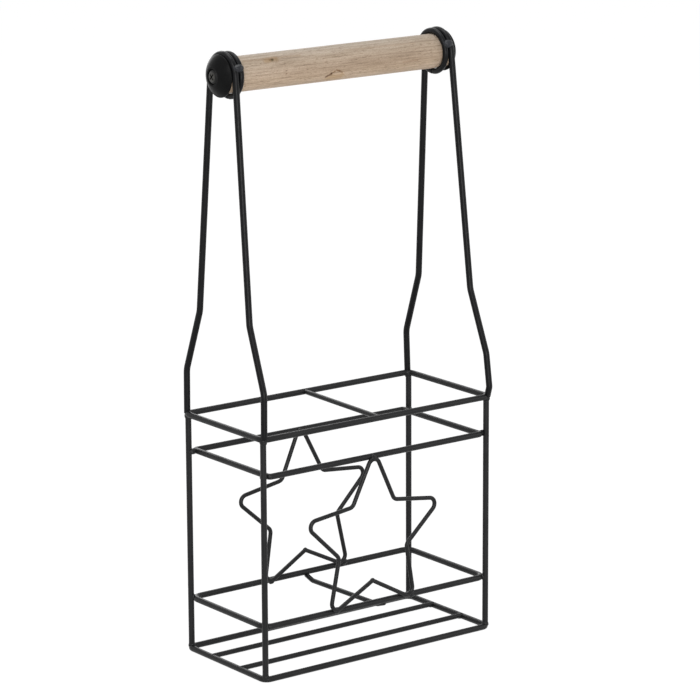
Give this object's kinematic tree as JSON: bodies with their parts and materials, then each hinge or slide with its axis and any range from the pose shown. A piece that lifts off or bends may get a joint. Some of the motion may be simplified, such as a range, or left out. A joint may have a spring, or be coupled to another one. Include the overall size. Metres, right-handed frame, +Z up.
{
  "type": "bottle caddy",
  "caption": "Wire bottle caddy: a rectangular cage with star panels, divided for bottles, hung from tall wire hoops that carry a turning wooden grip.",
  "frame": {"origin": "on the standing surface, midway between the four corner posts", "axes": "+X along the grip, -Y is the front, +Z is up"},
  "size_m": [0.2116, 0.1018, 0.4449],
  "materials": {
    "wire_coat": "satin black powder coat on steel wire",
    "wood": "bare sanded pale hardwood, fine straight grain",
    "cap_plastic": "black moulded plastic with a soft sheen",
    "screw_steel": "black oxide steel"
  },
  "bodies": {
    "cage": {"top_ring": "wire_coat", "middle_ring": "wire_coat", "lower_ring": "wire_coat", "base_ring": "wire_coat", "post_front_left": "wire_coat", "post_front_right": "wire_coat", "post_back_left": "wire_coat", "post_back_right": "wire_coat", "base_slat_front": "wire_coat", "base_slat_back": "wire_coat", "top_divider": "wire_coat", "lower_divider": "wire_coat", "star_front": "wire_coat", "star_back": "wire_coat", "handle_hoop_left": "wire_coat", "handle_hoop_right": "wire_coat", "grip_ring_left": "wire_coat", "grip_ring_right": "wire_coat"},
    "grip": {"grip": "wood", "cap_left": "cap_plastic", "cap_right": "cap_plastic", "screw_left": "screw_steel", "screw_right": "screw_steel"}
  },
  "joints": [
    {"name": "grip_spin", "type": "hinge", "parent": "cage", "child": "grip", "pos_m": [0, 0, 0.4276], "axis": [1, 0, 0], "continuous": true}
  ]
}
